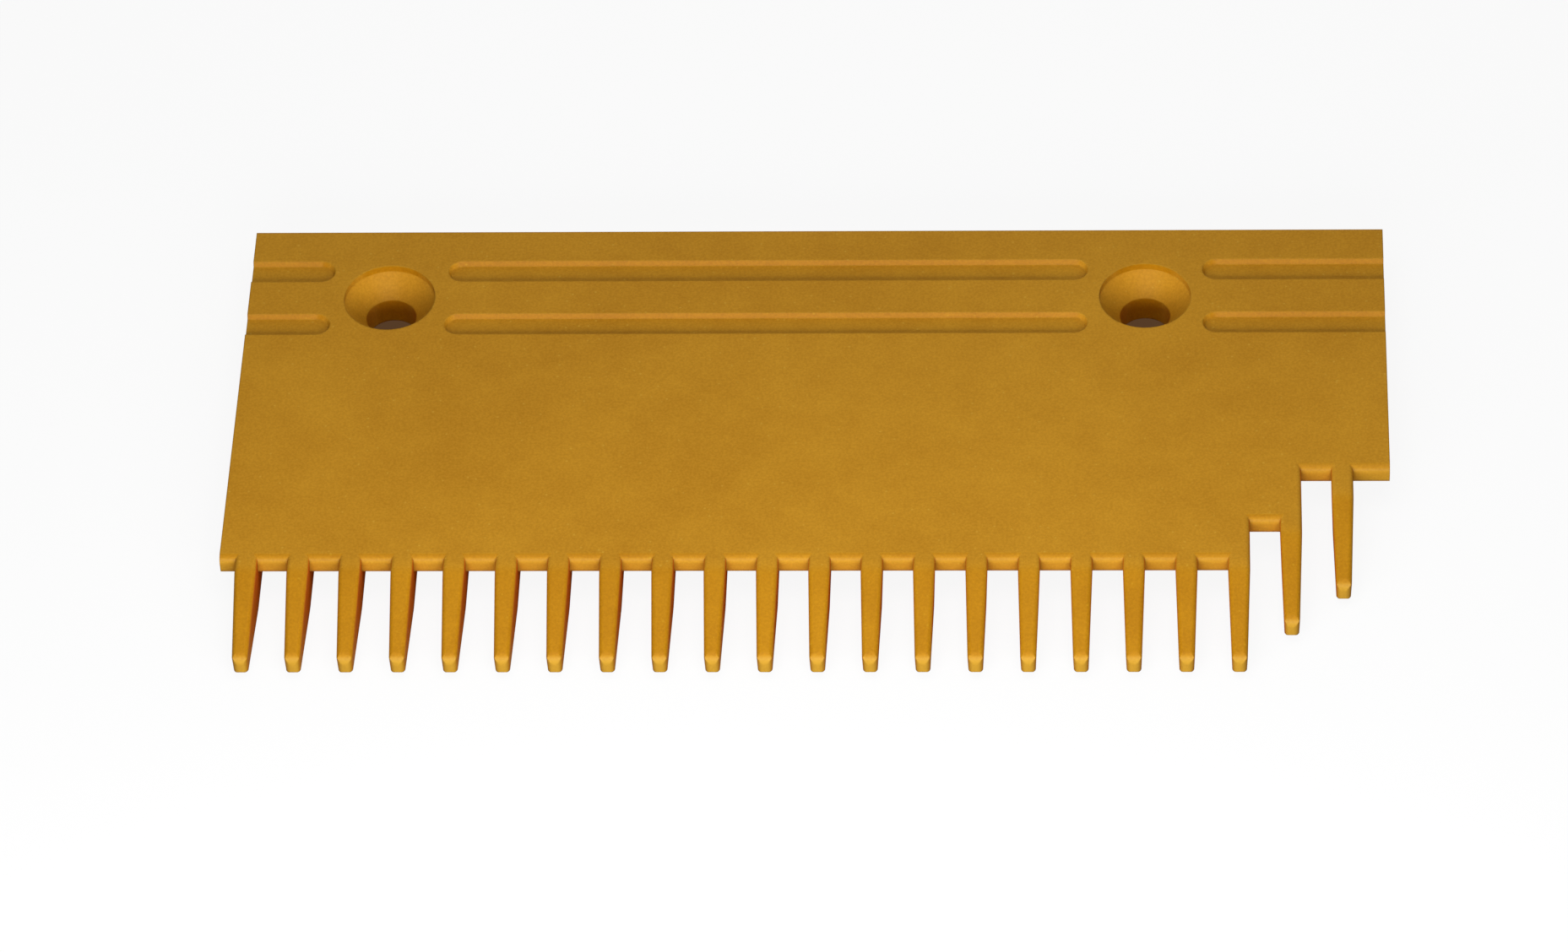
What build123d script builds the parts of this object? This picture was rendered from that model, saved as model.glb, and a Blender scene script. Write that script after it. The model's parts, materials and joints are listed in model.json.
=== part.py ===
"""Escalator comb plate: one plastic moulding with 22 teeth, for the right-hand end of a row of combs.

X runs along the comb, Y from the teeth to the back edge and Z up. The origin lies midway between the
two screw holes, on the plane that the plate rests on. All sizes are in millimetres.
"""
import os
from math import radians, tan

from build123d import *

os.makedirs("parts", exist_ok=True)

# Deck
plate_width = 203.5
plate_depth = 82.5
thickness = 10.0
skin = 4.0
lip_radius = 1.4
edge_break = 0.3

# Teeth: the cleats of the steps run between them and set their pitch
cleat_pitch = 9.068
first_tooth_inset = 4.7
tooth_length = 19.6
root_width = 3.9
tip_width = 3.15
tip_drop = 4.8
tip_lift = 1.8
slope_start = 2.0
chin_start = 3.0
draft_angle = 2.2
slope_blend = 12.0
nose_radius = 2.0
chin_radius = 0.4
tooth_edge = 0.8

# Right-hand corner: the last two teeth and their lips step back round the skirt
step_tips = 8.7
step_lips = (9.3, 21.7)

# Screw holes, for M8 countersunk screws whose heads sit below the deck
left_hole_inset = 25.3
right_hole_inset = 42.7
hole_from_back = 17.2
bore_diameter = 9.0
head_diameter = 16.4
head_recess = 1.3
head_angle = 90.0

# Grooves in the deck, one row on each side of the screw holes
groove_width = 5.2
groove_depth = 0.85
groove_offset = 6.8
groove_clearance = 10.2
groove_draft = 30.0

# Underside
wall = 2.5
front_wall_from_lip = 31.0
boss_diameter = 20.0

# Positions and numbers that follow from the sizes above
hole_spacing = plate_width - left_hole_inset - right_hole_inset
tooth_count = int((plate_width - 2 * first_tooth_inset) / cleat_pitch) + 1
back_y = hole_from_back
lip_y = back_y - plate_depth
left_x = -hole_spacing / 2 - left_hole_inset
right_x = left_x + plate_width
tooth_xs = [left_x + first_tooth_inset + i * cleat_pitch for i in range(tooth_count)]
root_ys = [lip_y] * (tooth_count - 2) + [lip_y + step_tips, lip_y + 2 * step_tips]
step_ys = [lip_y + step for step in step_lips]
hole_xs = (-hole_spacing / 2, hole_spacing / 2)
rib_length = plate_depth + wall
nose_corner = 0.95 * (tip_width / 2 - thickness * tan(radians(draft_angle)))
deck_top = Plane.XY.offset(thickness)

# A tooth starts as a straight bar that also makes the rib under the deck. The lip stands at Y = 0 and the
# tip points to -Y. A little in front of the lip the bar starts to narrow. Its sides lean in towards the
# underside, so that it leaves the mould and clears the cleats.
with BuildPart() as bar:
    with BuildSketch(deck_top):
        with BuildLine():
            Polyline(
                (-root_width / 2, rib_length),
                (-root_width / 2, -slope_start),
                (-tip_width / 2, -tooth_length),
                (tip_width / 2, -tooth_length),
                (root_width / 2, -slope_start),
                (root_width / 2, rib_length),
                close=True,
            )
        make_face()
    extrude(amount=-thickness)
    sides = bar.faces().filter_by(lambda f: abs(f.normal_at().X) > 0.9)
    draft(sides, neutral_plane=deck_top, angle=-draft_angle)

# The same bar with a nose that is all but a full round at its foot
with BuildPart() as round_bar:
    add(bar.part)
    front = round_bar.faces().sort_by(Axis.Y)[0]
    fillet(front.edges().filter_by(Axis.X, reverse=True), radius=nose_corner)

# The tooth is the bar cut to its side view, in which it slopes down to the tip and its chin lifts. Its
# upper edges are rounded while the tip is still square, and then the tip is rounded in plan and side view.
with BuildPart() as tooth:
    add(bar.part)
    with BuildSketch(Plane.YZ) as square_profile:
        with BuildLine():
            Polyline(
                (rib_length, 0),
                (-chin_start, 0),
                (-tooth_length, tip_lift),
                (-tooth_length, thickness - tip_drop),
                (-slope_start, thickness),
                (rib_length, thickness),
                close=True,
            )
        make_face()
        fillet(square_profile.vertices().sort_by_distance((-slope_start, thickness))[0], radius=slope_blend)
    extrude(amount=root_width, both=True, mode=Mode.INTERSECT)
    upper_faces = tooth.faces().filter_by(lambda f: f.normal_at().Z > 0.2)
    fillet(upper_faces.edges().filter_by(Axis.X, reverse=True), radius=tooth_edge)

    add(round_bar.part, mode=Mode.INTERSECT)
    with BuildSketch(Plane.YZ) as round_profile:
        add(square_profile.sketch_local)
        fillet(round_profile.vertices().sort_by_distance((-tooth_length, tip_lift))[0], radius=chin_radius)
        fillet(round_profile.vertices().group_by(Axis.X)[0].sort_by(Axis.Y)[-1], radius=nose_radius)
    extrude(amount=root_width, both=True, mode=Mode.INTERSECT)

with BuildPart() as comb_plate:
    # The deck is a thin skin. Its two steps turn at the middle of a tooth, so the tooth makes their corners.
    with BuildSketch(deck_top) as deck_plan:
        with BuildLine():
            Polyline(
                (left_x, back_y),
                (left_x, lip_y),
                (tooth_xs[-3], lip_y),
                (tooth_xs[-3], step_ys[0]),
                (tooth_xs[-2], step_ys[0]),
                (tooth_xs[-2], step_ys[1]),
                (right_x, step_ys[1]),
                (right_x, back_y),
                close=True,
            )
        make_face()
    extrude(amount=-skin)
    lips = comb_plate.faces().filter_by(lambda f: f.normal_at().Y < -0.9)
    fillet(lips.edges().filter_by(Axis.X), radius=lip_radius)

    # The ribs of all the teeth run out past the back edge and are trimmed flush with it. Then that edge is
    # rounded over deck and ribs alike.
    with Locations(*[(x, y, 0) for x, y in zip(tooth_xs, root_ys)]):
        add(tooth.part)
    with BuildSketch():
        with Locations(((left_x + right_x) / 2, back_y)):
            Rectangle(2 * plate_width, rib_length, align=(Align.CENTER, Align.MIN))
    extrude(amount=thickness, mode=Mode.SUBTRACT)
    back_edge = comb_plate.faces().sort_by(Axis.Y)[-1].edges().sort_by(Axis.Z)[-1]
    fillet(back_edge, radius=edge_break)

    # The underside is closed in by walls at the back, at the right-hand end and across the ribs, and a
    # boss round each screw hole reaches down to the plane that the plate rests on.
    with BuildSketch() as underside:
        with Locations((left_x, back_y)):
            Rectangle(plate_width, wall, align=(Align.MIN, Align.MAX))
        with Locations(*[(tooth_xs[0], y) for y in (lip_y + front_wall_from_lip, -wall / 2)]):
            Rectangle(right_x - tooth_xs[0], wall, align=Align.MIN)
        with Locations((right_x, back_y)):
            Rectangle(wall, plate_depth - front_wall_from_lip, align=Align.MAX)
        with Locations(*[(x, 0) for x in hole_xs]):
            Circle(boss_diameter / 2)
    extrude(amount=thickness - skin / 2)

    # Screw holes
    with Locations(*[(x, 0, thickness - head_recess) for x in hole_xs]):
        CounterSinkHole(bore_diameter / 2, head_diameter / 2, counter_sink_angle=head_angle)

    # Grooves: a short one at each end, open at the side, and a long one between the holes
    with BuildSketch(deck_top) as grooves:
        for start, end in (
            (left_x - groove_width, hole_xs[0] - groove_clearance),
            (hole_xs[0] + groove_clearance, hole_xs[1] - groove_clearance),
            (hole_xs[1] + groove_clearance, right_x + groove_width),
        ):
            with Locations(*[((start + end) / 2, y) for y in (-groove_offset, groove_offset)]):
                SlotOverall(end - start, groove_width)
    extrude(amount=-groove_depth, taper=groove_draft, mode=Mode.SUBTRACT)

comb_plate.part.label = "comb_plate"
export_step(comb_plate.part, "parts/comb_plate.step")
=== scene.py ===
import json
from math import pi, radians

import bpy
from mathutils import Matrix, Vector


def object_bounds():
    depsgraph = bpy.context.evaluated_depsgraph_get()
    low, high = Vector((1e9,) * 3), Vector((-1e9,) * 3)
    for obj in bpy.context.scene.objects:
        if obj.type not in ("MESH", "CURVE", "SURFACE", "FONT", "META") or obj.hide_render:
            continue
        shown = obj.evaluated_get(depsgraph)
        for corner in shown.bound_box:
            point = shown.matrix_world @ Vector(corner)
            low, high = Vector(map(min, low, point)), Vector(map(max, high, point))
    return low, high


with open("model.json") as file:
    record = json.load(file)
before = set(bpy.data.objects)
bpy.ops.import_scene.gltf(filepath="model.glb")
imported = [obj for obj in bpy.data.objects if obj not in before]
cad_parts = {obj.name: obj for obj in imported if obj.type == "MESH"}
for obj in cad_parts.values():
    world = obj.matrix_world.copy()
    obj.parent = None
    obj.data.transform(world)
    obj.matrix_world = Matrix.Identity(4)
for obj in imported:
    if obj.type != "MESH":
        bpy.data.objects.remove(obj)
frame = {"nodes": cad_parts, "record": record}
cad_low, cad_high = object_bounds()
millimetre = 0.001


# The comb plate is a single moulding of amber plastic with a satin finish, and two countersunk screws hold
# it down. Its mould was spark-eroded, which leaves a fine even grain, and the melt leaves faint clouds and
# pale specks in the colour.
class Socket:
    """An output of a node. An operator on it adds the Math node that works the result out."""

    def __init__(self, tree, output):
        self.tree = tree
        self.output = output

    @classmethod
    def node(cls, tree, kind, inputs=None, settings=None, out=0):
        """Adds a node, makes its settings, fills its sockets by value or by link and gives one output."""
        made = tree.nodes.new("ShaderNode" + kind)
        for name, value in (settings or {}).items():
            setattr(made, name, value)
        for name, value in (inputs or {}).items():
            if isinstance(value, Socket):
                tree.links.new(value.output, made.inputs[name])
            else:
                made.inputs[name].default_value = value
        return cls(tree, made.outputs[out] if made.outputs else None)

    def maths(self, operation, first, second):
        return Socket.node(self.tree, "Math", {0: first, 1: second}, {"operation": operation})

    def __add__(self, other):
        return self.maths("ADD", self, other)

    def __radd__(self, other):
        return self.maths("ADD", other, self)

    def __sub__(self, other):
        return self.maths("SUBTRACT", self, other)

    def __rsub__(self, other):
        return self.maths("SUBTRACT", other, self)

    def __mul__(self, other):
        return self.maths("MULTIPLY", self, other)

    def __rmul__(self, other):
        return self.maths("MULTIPLY", other, self)

    def between(self, start, end):
        """A straight ramp that is 0 at start and 1 at end, and stays so beyond them."""
        return Socket.node(self.tree, "MapRange", {"Value": self, "From Min": start, "From Max": end})

    def mix(self, first, second, blend="MIX"):
        """Blends two colours, with this value as the share of the second."""
        settings = {"data_type": "RGBA", "blend_type": blend}
        return Socket.node(self.tree, "Mix", {0: self, 6: first, 7: second}, settings, out=2)


def new_tree(owner):
    """Empties the node tree of a material or of the world and gives it."""
    owner.use_nodes = True
    owner.node_tree.nodes.clear()
    return owner.node_tree


def noise(place, size, detail=2.0, roughness=0.5):
    """Soft noise from 0 to 1 whose lumps are about the given size in metres."""
    inputs = {"Vector": place, "Scale": 1.0 / size, "Detail": detail, "Roughness": roughness}
    return Socket.node(place.tree, "TexNoise", inputs)


def along(vector, axis):
    """How far a vector goes along X, Y or Z."""
    return Socket.node(vector.tree, "SeparateXYZ", {"Vector": vector}, out=axis)


soft_samples = 6


def covered(tree, reach):
    """How much of the view from a point the plate itself closes off within reach, from 0 to 1."""
    settings = {"samples": soft_samples, "only_local": True}
    return 1.0 - Socket.node(tree, "AmbientOcclusion", {"Distance": reach}, settings, out="AO")


# The melt is amber in two shades, which clouds, a slow drift and the grain blend
amber = (0.67, 0.328, 0.022, 1.0)
amber_deep = (0.49, 0.214, 0.010, 1.0)
cloud_size = 7.0 * millimetre
cloud_ramp = (0.3, 0.7)
cloud_share = 0.3
drift_size = 40.0 * millimetre
drift_ramp = (0.35, 0.65)
drift_share = 0.25
grain_size = 0.45 * millimetre
grain_ramp = (0.35, 0.65)
grain_share = 0.45

plastic = bpy.data.materials.new("amber_plastic")
tree = new_tree(plastic)
place = Socket.node(tree, "TexCoord", out="Object")
clouds = noise(place, cloud_size, detail=4.0, roughness=0.6).between(*cloud_ramp)
drift = noise(place, drift_size).between(*drift_ramp)
grain = noise(place, grain_size, detail=3.0, roughness=0.6)
fine = grain.between(*grain_ramp)
colour = (clouds * cloud_share + drift * drift_share + fine * grain_share).mix(amber_deep, amber)

# It holds small pale specks
amber_pale = (0.70, 0.42, 0.05, 1.0)
speck_spacing = 2.2 * millimetre
speck_rim = (0.06, 0.12)
speck_share = 0.45
to_speck = Socket.node(tree, "TexVoronoi", {"Vector": place, "Scale": 1.0 / speck_spacing}, out="Distance")
speck = 1.0 - to_speck.between(*speck_rim)
colour = (speck * speck_share).mix(colour, amber_pale)

# Every edge has a small radius, and edges are a little paler than faces
edge_radius = 0.4 * millimetre
edge_ramp = (0.01, 0.2)
edge_share = 0.15
rounded = Socket.node(tree, "Bevel", {"Radius": edge_radius}, {"samples": soft_samples})
facing = Socket.node(tree, "NewGeometry", out="Normal")
alike = Socket.node(tree, "VectorMath", {0: rounded, 1: facing}, {"operation": "DOT_PRODUCT"}, out="Value")
edge = (1.0 - alike).between(*edge_ramp)
colour = (edge * edge_share).mix(colour, amber_pale)

# The screw holes and the pockets underneath, which walls all but close in, get a painted shade that makes
# them redder and darker
hollow_shade_tint = (1.0, 0.55, 0.3, 1.0)
deep_reach = 10.0 * millimetre
hole_ramp = (0.6, 0.75)
deep = covered(tree, deep_reach)
colour = deep.between(*hole_ramp).mix(colour, hollow_shade_tint, "MULTIPLY")

# The rear lip is the last of the lips, and all the teeth reach ahead of it. The tops of the teeth, and the
# steep faces behind the rear lip that look towards the teeth, get a painted shade that makes them deeper in
# colour.
slope_shade_tint = (0.88, 0.82, 0.35, 1.0)
tooth_length = 19.6 * millimetre
rear_lip_step = 21.7 * millimetre
rear_lip = cad_low.y + tooth_length + rear_lip_step
lip_fade = 2.0 * millimetre
tooth_top_ramp = (0.08, 0.24)
tooth_end_ramp = (0.6, 0.95)
steep_ramp = (0.72, 0.84)
ahead = along(place, "Y").between(rear_lip + lip_fade, rear_lip)
turned = Socket.node(tree, "TexCoord", out="Normal")
forward = 0.0 - along(turned, "Y")
sloping = ahead * forward.between(*tooth_top_ramp) * (1.0 - forward.between(*tooth_end_ramp))
steep = (1.0 - ahead) * forward.between(*steep_ramp)
colour = (sloping + steep).mix(colour, slope_shade_tint, "MULTIPLY")

# The front faces of the lips get a painted highlight in pale amber, and the noses, which lie lower than any
# lip, a stronger one
lip_thickness = 4.0 * millimetre
lip_foot = cad_high.z - lip_thickness
nose_fade = 1.0 * millimetre
front_ramp = (0.5, 0.9)
lip_highlight_share = 0.2
nose_highlight_share = 0.5
low = along(place, "Z").between(lip_foot, lip_foot - nose_fade)
front = ahead * forward.between(*front_ramp)
colour = (front * (lip_highlight_share + (nose_highlight_share - lip_highlight_share) * low)).mix(colour, amber_pale)

# The sides of the teeth get a painted shade that makes them redder and darker where another tooth is near
amber_side_shade = (0.66, 0.140, 0.012, 1.0)
gap_ramp = (0.1, 0.3)
side_ramp = (0.45, 0.95)
side_shade_share = 0.9
across = along(turned, "X")
side = ahead * deep.between(*gap_ramp) * (across * across).between(*side_ramp)
colour = (side * side_shade_share).mix(colour, amber_side_shade)

# Painted shade darkens the narrow hollows
amber_crease_shade = (0.22, 0.075, 0.004, 1.0)
narrow_reach = 1.5 * millimetre
narrow_ramp = (0.25, 0.6)
crease_shade_share = 0.6
narrow = covered(tree, narrow_reach).between(*narrow_ramp)
colour = (narrow * crease_shade_share).mix(colour, amber_crease_shade)

# The finish is satin and smoother at the edges, with the grain in relief and a thin gloss, which the sides
# of the teeth with their painted shade lack
roughness = 0.50
roughness_spread = 0.08
edge_polish = 0.06
gloss = 0.2
grain_depth = 0.018 * millimetre
relief = {"Strength": 0.5, "Distance": grain_depth, "Height": grain, "Normal": rounded}
surface = {
    "Base Color": colour,
    "Roughness": roughness + roughness_spread * clouds + roughness_spread * fine - edge_polish * edge,
    "Specular IOR Level": 0.0,
    "Coat Weight": (1.0 - side) * gloss,
    "Coat Roughness": 0.4,
    "Normal": Socket.node(tree, "Bump", relief),
}
Socket.node(tree, "OutputMaterial", {"Surface": Socket.node(tree, "BsdfPrincipled", surface)})

for slot in frame["nodes"]["comb_plate"].material_slots:
    slot.material = plastic


# The floor is a pale sheet. The camera sees it near white with the plate's shadow on it, and the plate gets
# the dim light of a dark floor from it, so the sides of the teeth and the holes stay dark. Where the camera
# looks down a screw hole it sees that dark floor, a painted shade in place of the white. From below the
# sheet is clear.
floor_half_width = 3.0
floor_gap = 0.05 * millimetre
floor_height = cad_low.z - floor_gap
floor_white = (1.0, 1.0, 1.0, 1.0)
floor_dark = (0.09, 0.045, 0.02, 1.0)
glow_share = 0.90
hole_shade = (6.4 * millimetre, 8.0 * millimetre)
hole_spacing = frame["record"]["mounts"][0]["dims"]["spacing_x_mm"] * millimetre


def seen_white(tree, white, plain, where=1.0):
    """Shows the first shader to the camera, to gloss and to glass, and the second to all other light."""
    rays = ("Is Camera Ray", "Is Glossy Ray", "Is Transmission Ray")
    seen = sum(Socket.node(tree, "LightPath", out=ray) for ray in rays)
    return Socket.node(tree, "MixShader", {0: seen * where, 1: plain, 2: white})


floor_mesh = bpy.data.meshes.new("floor")
corners = [(x * floor_half_width, y * floor_half_width, floor_height) for x in (-1, 1) for y in (-1, 1)]
floor_mesh.from_pydata(corners, [], [(0, 2, 3, 1)])
floor = bpy.data.objects.new("floor", floor_mesh)
bpy.context.scene.collection.objects.link(floor)

paper = bpy.data.materials.new("floor_paper")
tree = new_tree(paper)
matte = Socket.node(tree, "BsdfDiffuse", {"Color": floor_white})
glow = Socket.node(tree, "Emission", {"Color": floor_white, "Strength": 1.0})
pale = Socket.node(tree, "MixShader", {0: glow_share, 1: matte, 2: glow})
dark = Socket.node(tree, "Emission", {"Color": floor_dark, "Strength": 1.0})
place = Socket.node(tree, "NewGeometry", out="Position")
beside_holes = 1.0
for hole_x in (-hole_spacing / 2, hole_spacing / 2):
    hole = {0: place, 1: (hole_x, 0.0, floor_height)}
    away = Socket.node(tree, "VectorMath", hole, {"operation": "DISTANCE"}, out="Value")
    beside_holes = beside_holes * away.between(*hole_shade)
sheet = seen_white(tree, pale, dark, beside_holes)
below = Socket.node(tree, "NewGeometry", out="Backfacing")
clear = Socket.node(tree, "BsdfTransparent")
sheet = Socket.node(tree, "MixShader", {0: below, 1: sheet, 2: clear})
Socket.node(tree, "OutputMaterial", {"Surface": sheet})
floor_mesh.materials.append(paper)


# Light comes from a wide soft lamp in front of the teeth, which makes the lip and the noses the brightest
# faces, from a larger one above, from a weak one behind, and from a plain room all round.
room_light = 0.10
room_white = (1.0, 1.0, 1.0, 1.0)
plate_middle = (cad_low + cad_high) / 2

world = bpy.data.worlds.new("room")
bpy.context.scene.world = world
tree = new_tree(world)
room = Socket.node(tree, "Background", {"Color": room_white, "Strength": room_light})
backdrop = Socket.node(tree, "Background", {"Color": room_white, "Strength": 1.0})
Socket.node(tree, "OutputWorld", {"Surface": seen_white(tree, backdrop, room)})


def lamp(name, width, depth, power, distance, height):
    """Points a lamp at the plate's middle. Its height is an angle that runs from the front over the top."""
    light = bpy.data.lights.new(name, "AREA")
    light.shape = "RECTANGLE"
    light.size = width
    light.size_y = depth
    light.energy = power
    piece = bpy.data.objects.new(name, light)
    aim = Matrix.Rotation(pi / 2 - height, 4, "X")
    piece.matrix_world = Matrix.Translation(plate_middle) @ aim @ Matrix.Translation((0, 0, distance))
    bpy.context.scene.collection.objects.link(piece)


lamp("key", width=0.36, depth=0.10, power=0.76, distance=0.27, height=radians(25.0))
lamp("top", width=0.35, depth=0.35, power=0.84, distance=0.50, height=radians(75.0))
lamp("back", width=0.40, depth=0.20, power=0.40, distance=0.50, height=radians(165.0))


# The camera stands far off with a long lens, 45 degrees above the plate and a little to its right, and is
# tipped slightly to one side. It aims at a point on the deck near the lip.
aim_point = Vector((0.00461, -0.04526, cad_high.z))
view_turn, view_height, view_tip = radians(3.865), radians(45.19), radians(-2.843)
view_distance = 1.36525

lens = bpy.data.cameras.new("camera")
lens.lens = 179.1
lens.sensor_width = 36.0
lens.clip_start = 0.05
camera = bpy.data.objects.new("camera", lens)
aim = Matrix.Rotation(view_turn, 4, "Z") @ Matrix.Rotation(pi / 2 - view_height, 4, "X")
tip = Matrix.Rotation(view_tip, 4, "Z")
camera.matrix_world = Matrix.Translation(aim_point) @ aim @ tip @ Matrix.Translation((0, 0, view_distance))
bpy.context.scene.collection.objects.link(camera)
bpy.context.scene.camera = camera
bpy.context.scene.view_settings.view_transform = "Standard"
